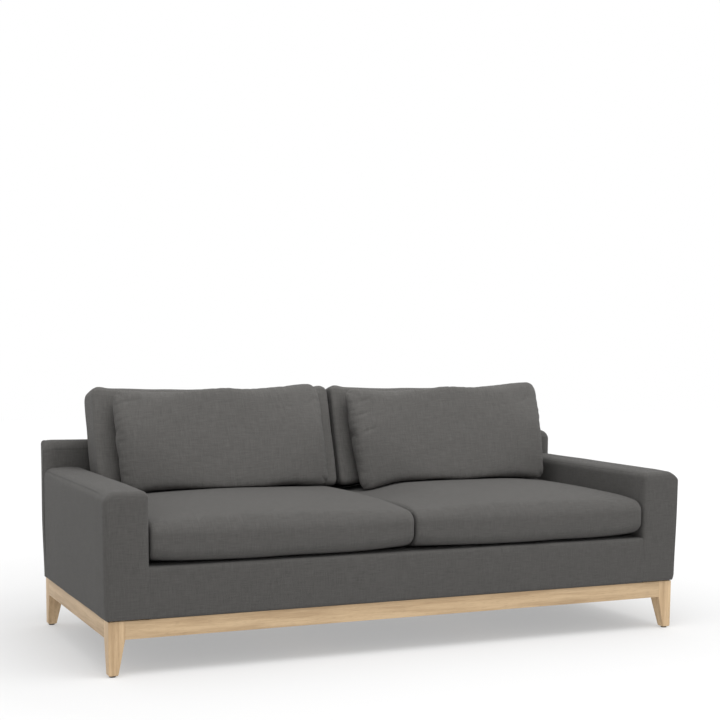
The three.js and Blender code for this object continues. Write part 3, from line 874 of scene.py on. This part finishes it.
def blow_up(obj):
    """Blows the closed mesh up to the pillow's volume with a cloth simulation. Returns its points."""
    modifier = obj.modifiers.new("cloth", "CLOTH")
    cloth = modifier.settings
    cloth.quality = 6
    cloth.mass = 0.3
    cloth.tension_stiffness = cloth.compression_stiffness = 15
    cloth.shear_stiffness = 5
    cloth.bending_stiffness = 0.4
    cloth.use_pressure = True
    cloth.uniform_pressure_force = 0
    cloth.use_pressure_volume = True
    cloth.target_volume = PILLOW_VOLUME
    cloth.pressure_factor = 8
    cloth.effector_weights.gravity = 0
    modifier.point_cache.frame_start = 1
    modifier.point_cache.frame_end = PILLOW_FRAMES
    scene = bpy.context.scene
    for at in range(1, PILLOW_FRAMES + 1):
        scene.frame_set(at)
    evaluated = obj.evaluated_get(bpy.context.evaluated_depsgraph_get())
    result = coords(evaluated)
    obj.modifiers.remove(modifier)
    scene.frame_set(1)
    return result


def outline(points, along, across, degree=6):
    """A smooth curve through the seam: where it lies across, as a function of along."""
    return np.polynomial.Polynomial.fit(points[:, along], points[:, across], degree)


def squared(co, rest, width, height):
    """Straightens the blown-up pillow's edges, so that its seam is a rectangle about the origin."""
    left, right = (outline(co[rest[:, 0] == end], 2, 0)(co[:, 2]) for end in (-1, 1))
    bottom, top = (outline(co[rest[:, 1] == end], 0, 2)(co[:, 0]) for end in (-1, 1))
    u = 2 * (co[:, 0] - left) / (right - left) - 1
    v = 2 * (co[:, 2] - bottom) / (top - bottom) - 1
    return np.stack([u * width / 2, co[:, 1], v * height / 2], axis=1)


def relax(obj, co, weight, rounds):
    """Evens out a mesh's points towards their neighbours, by each point's weight."""
    edges = np.zeros(len(obj.data.edges) * 2, int)
    obj.data.edges.foreach_get("vertices", edges)
    edges = edges.reshape(-1, 2)
    count = np.bincount(edges.ravel(), minlength=len(co))[:, None]
    for _ in range(rounds):
        total = np.zeros_like(co)
        np.add.at(total, edges[:, 0], co[edges[:, 1]])
        np.add.at(total, edges[:, 1], co[edges[:, 0]])
        co = co + weight[:, None] * (total / count - co) * 0.6
    return co


def seat_under(x, y):
    """Height of the seat cushions' top at a place on the plan."""
    heights = [0.0]
    for pad in SEAT_PADS:
        hit, place, _, _ = pad.ray_cast(Vector((x, y, 2.0)), Vector((0, 0, -1)))
        if hit:
            heights.append(place.z)
    return max(heights)


def puckers(s, inward, pitch, seed):
    """Small gathers along a seam: s runs along it, inward away from it."""
    wander = np.array([noise.noise(Vector((a * 22, seed, 0))) for a in s])
    strength = np.array([0.55 + noise.noise(Vector((a * 31, seed + 5, 0))) for a in s])
    wave = np.cos(2 * math.pi * (s / pitch + 0.35 * wander))
    return strength * wave * np.exp(-((inward / 0.020) ** 2))


def crease(across, up, start, end):
    """A fold running from one place on the panel to another, deepest at its middle."""
    start, end = np.array(start), np.array(end)
    run = end - start
    length = np.linalg.norm(run)
    along = ((across - start[0]) * run[0] + (up - start[1]) * run[1]) / length
    aside = ((up - start[1]) * run[0] - (across - start[0]) * run[1]) / length
    return np.exp(-((aside / CREASE_WIDTH) ** 2)) * bowed(along, 0, length)


def round_corners(x, z, half_wide, half_tall, radius):
    """Takes points of a rectangle about the origin to one with rounded corners."""
    a, b = np.abs(x) - (half_wide - radius), np.abs(z) - (half_tall - radius)
    inside = (a > 0) & (b > 0)
    shrink = np.where(inside, np.maximum(a, b) / np.maximum(np.hypot(a, b), 1e-9), 1.0)
    x = np.where(inside, np.sign(x) * (half_wide - radius + a * shrink), x)
    z = np.where(inside, np.sign(z) * (half_tall - radius + b * shrink), z)
    return x, z


SEAT_PADS = []  # filled as the seat cushions are made, for what stands on them

# how far each pillow's outline stands out from its box: left edge at the bottom and the top,
# right edge at the bottom and the top; then its left and right ears, and how far its lower left
# corner slumps
PILLOW_SHAPE = {
    "left": (0.005, -0.004, 0.012, 0.006, 0.004, 0.022, 0.0),
    "right": (0.014, -0.010, 0.003, 0.020, 0.004, 0.025, 0.006),
}
# ends of the folds in the front panel, in metres from its middle
CREASES = {
    "left": [((-0.40, 0.13), (-0.30, 0.145)), ((0.385, 0.135), (0.33, 0.10))],
    "right": [
        ((-0.40, -0.005), (-0.325, 0.02)),
        ((-0.405, 0.065), (-0.345, 0.085)),
        ((-0.40, 0.115), (-0.33, 0.14)),
        ((0.385, 0.14), (0.32, 0.10)),
    ],
}


def relief(name, flat, seam, half_wide, half_tall, seed):
    """How far gathers raise and folds sink the pillow's skin, in metres."""
    side_gap, level_gap = half_wide - np.abs(flat[:, 0]), half_tall - np.abs(flat[:, 2])
    gathers = puckers(flat[:, 2], side_gap, 0.027, seed) * smoothstep(0.0, 0.05, level_gap)
    gathers += puckers(flat[:, 0], level_gap, 0.034, seed + 9) * smoothstep(0.0, 0.05, side_gap)
    gathers[seam] *= 0.25
    folds = sum(crease(flat[:, 0], flat[:, 2], start, end) for start, end in CREASES[name])
    return gathers * PUCKER - folds * CREASE * (flat[:, 1] < 0)


def pillow_outline(name, u, v, low, high, half_wide, half_tall):
    """Place along X and height up the leaning panel of points at u, v, with the pillow's ears, the
    dip between them and its own slant at either end."""
    left_low, left_high, right_low, right_high, left_ear, right_ear, _ = PILLOW_SHAPE[name]
    across, upward = round_corners(u * half_wide, v * half_tall, half_wide, half_tall, PILLOW_CORNER)
    rise, run = (v + 1) / 2, (u + 1) / 2
    left_edge = left_low + (left_high - left_low) * rise
    right_edge = right_low + (right_high - right_low) * rise
    x = (low.x + high.x) / 2 + across + left_edge * (1 - run) + right_edge * run
    ears = left_ear * smoothstep(-0.55, -0.95, u) + right_ear * smoothstep(0.25, 0.9, u)
    dip = 0.010 * np.exp(-(((u + 0.45) / 0.35) ** 2))
    return x, upward + (ears - dip) * smoothstep(0.2, 1.0, v)


def settling(name, x, u, v, depth, low, high):
    """How far the pillow's foot sinks to follow the crowned seat."""
    columns = np.linspace(low.x, high.x, 40)
    seat = np.array([seat_under(column, PILLOW_FOOT_Y) for column in columns])
    drop = np.interp(x, columns, seat.max() - seat)
    drop = drop + PILLOW_SHAPE[name][-1] * smoothstep(-0.6, -0.95, u)
    return (0.022 * np.abs(depth) + drop) * smoothstep(-0.1, -0.95, v)


def pillow(name, seed):
    node_name = f"lumbar_pillow_{name}"
    low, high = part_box(node_name)
    width, height = high.x - low.x, (high.z - low.z) / math.cos(LEAN)
    obj, seam, rest = flat_pillow(f"pillow_{name}", width * 1.03, height * 1.08, seed)
    blown = blow_up(obj)
    loose = np.ones(len(blown))
    loose[seam] = 0.0
    flat = relax(obj, squared(blown, rest, width, height), loose, 30)
    u, v = 2 * flat[:, 0] / width, 2 * flat[:, 2] / height
    depth = flat[:, 1] / np.abs(flat[:, 1]).max()
    depth = np.sign(depth) * np.abs(depth) ** 0.62
    front = depth < 0
    x, up = pillow_outline(name, u, v, low, high, width / 2, height / 2)
    up = up - settling(name, x, u, v, depth, low, high)
    d = np.where(front, depth * PILLOW_FRONT, np.tanh(depth * 1.5) * PILLOW_REAR)
    d = d + np.where(front, -1, 0.5) * relief(name, flat, seam, width / 2, height / 2, seed)
    middle_z = (low.z + high.z) / 2
    panel_front, panel_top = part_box("back_cover")[0].y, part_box("back_cover")[1].z
    seam_y = panel_front - PILLOW_SEAM_AHEAD + (middle_z - panel_top) * math.tan(LEAN)
    y = seam_y + up * math.sin(LEAN) + d * math.cos(LEAN)
    z = middle_z + up * math.cos(LEAN) - d * math.sin(LEAN)
    for i in np.flatnonzero(z < low.z + 0.04):
        z[i] = max(z[i], seat_under(x[i], y[i]) + SEAT_CLEARANCE)
    set_coords(obj, np.stack([x, y, z], axis=1))
    finish_soft(obj, node_name, "pillow")


for side_name, side_sign in SIDES:
    SEAT_PADS.append(seat_cushion(side_name))
    back_cushion(side_name)
    pillow(side_name, 3.0 + side_sign)


# ======================================================================
# carried-over parts
# ======================================================================
def named(*beginnings):
    return [name for name in NODES if name.startswith(beginnings)]


def dress(names, material_for, bevel):
    """Gives carried-over nodes their material, flat faces and, where bevel isn't 0, eased edges."""
    for name in names:
        obj = NODES[name]
        paint(obj, material_for(name))
        if bevel:
            edge = obj.modifiers.new("eased", "BEVEL")
            edge.width = bevel
            edge.segments = 2
            edge.limit_method = "ANGLE"
            edge.angle_limit = math.radians(40)
            edge.harden_normals = False
        for polygon in obj.data.polygons:
            polygon.use_smooth = False


def longest_axis(name):
    low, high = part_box(name)
    size = high - low
    return "xyz"[max(range(3), key=lambda i: size[i])]


def oak_for(name):
    is_leg = name.startswith("leg_")
    axis = "z" if is_leg else longest_axis(name)
    seed = sum(map(ord, name)) % 17
    light, dark = (scaled(shade, 1.0 if is_leg else RAIL_SHADE) for shade in (OAK_LIGHT, OAK_DARK))
    return wood_material(f"oak_{name}", axis, light, dark, seed, 0.5)


def hardwood_for(name):
    return HARDWOOD[longest_axis(name)]


HARDWOOD = {
    axis: wood_material(
        f"hardwood_{axis}", axis, (0.60, 0.44, 0.28), (0.42, 0.28, 0.16), 5, 0.72, pore=0.6
    )
    for axis in "xyz"
}
ZINC = metal_material("zinc_steel", (0.56, 0.56, 0.57), 0.36)
NYLON = plastic_material("nylon", (0.03, 0.024, 0.02))
CAMBRIC = cambric_material("cambric", (0.012, 0.012, 0.013))

LEGS = [name for name in named("leg_") if name not in named("leg_bolt")]
BOARDS = named("corner_block", "base_cross", "seat_rail", "seat_stretcher", "back_bottom", "back_top")
BOARDS += named("back_post", "arm_front", "arm_rear", "arm_top", "arm_bottom")
dress(LEGS + named("base_rail_"), oak_for, 0.0014)
dress(BOARDS, hardwood_for, 0.001)
dress(named("leg_bolt", "seat_spring"), lambda name: ZINC, 0)
dress(named("glide_"), lambda name: NYLON, 0.0004)
dress(["dust_cover"], lambda name: CAMBRIC, 0)


# ======================================================================
# floor, light and camera
# ======================================================================
def build_floor():
    size = 14.0
    mesh = bpy.data.meshes.new("floor")
    corners = [(-size, -size, 0), (size, -size, 0), (size, size, 0), (-size, size, 0)]
    mesh.from_pydata(corners, [], [(0, 1, 2, 3)])
    floor = link(bpy.data.objects.new("floor", mesh))
    material, tree, shader = new_material("pale_floor")
    distance = node(
        tree, "ShaderNodeVectorMath", operation="LENGTH", inputs={0: object_space(tree)}
    ).outputs["Value"]
    tone = ramp(tree, maths(tree, "DIVIDE", distance, size), [(0.11, grey(0.40)), (0.27, grey(0.62))])
    surface(tree, shader, tone, 0.9, specular=0.1)
    shader.inputs["Emission Color"].default_value = (1, 1, 1, 1)
    shader.inputs["Emission Strength"].default_value = 0.38
    mesh.materials.append(material)


def build_light():
    """A white room and one wide soft lamp, above and in front of the sofa."""
    world = bpy.data.worlds.new("studio")
    bpy.context.scene.world = world
    world.use_nodes = True
    background = world.node_tree.nodes["Background"]
    background.inputs[0].default_value = (1, 1, 1, 1)
    background.inputs[1].default_value = 1.0
    place, aim = Vector((0.2, -1.5, 4.3)), Vector((0, 0, 0.3))
    data = bpy.data.lights.new("key", "AREA")
    data.shape = "RECTANGLE"
    data.size, data.size_y = 4.0, 3.0
    data.energy = 150
    lamp = link(bpy.data.objects.new("key", data))
    lamp.location = place
    lamp.rotation_euler = (aim - place).to_track_quat("-Z", "Y").to_euler()


def build_camera():
    yaw, pitch, roll = 0.4241, 0.1081, 0.0083
    right = Vector((math.cos(yaw), -math.sin(yaw), 0))
    forward = Vector((math.sin(yaw) * math.cos(pitch), math.cos(yaw) * math.cos(pitch), -math.sin(pitch)))
    up = right.cross(forward)
    level = math.cos(roll) * right + math.sin(roll) * up
    upright = -math.sin(roll) * right + math.cos(roll) * up
    data = bpy.data.cameras.new("camera")
    data.sensor_width = 36
    data.lens = 70.835
    data.shift_y = 0.18681
    data.clip_end = 60
    camera = link(bpy.data.objects.new("camera", data))
    axes = Matrix((level, upright, -forward)).transposed().to_4x4()
    axes.translation = Vector((-2.1973, -4.865, 1.0846))
    camera.matrix_world = axes
    bpy.context.scene.camera = camera


build_floor()
build_light()
build_camera()
bpy.context.scene.view_settings.view_transform = "Standard"
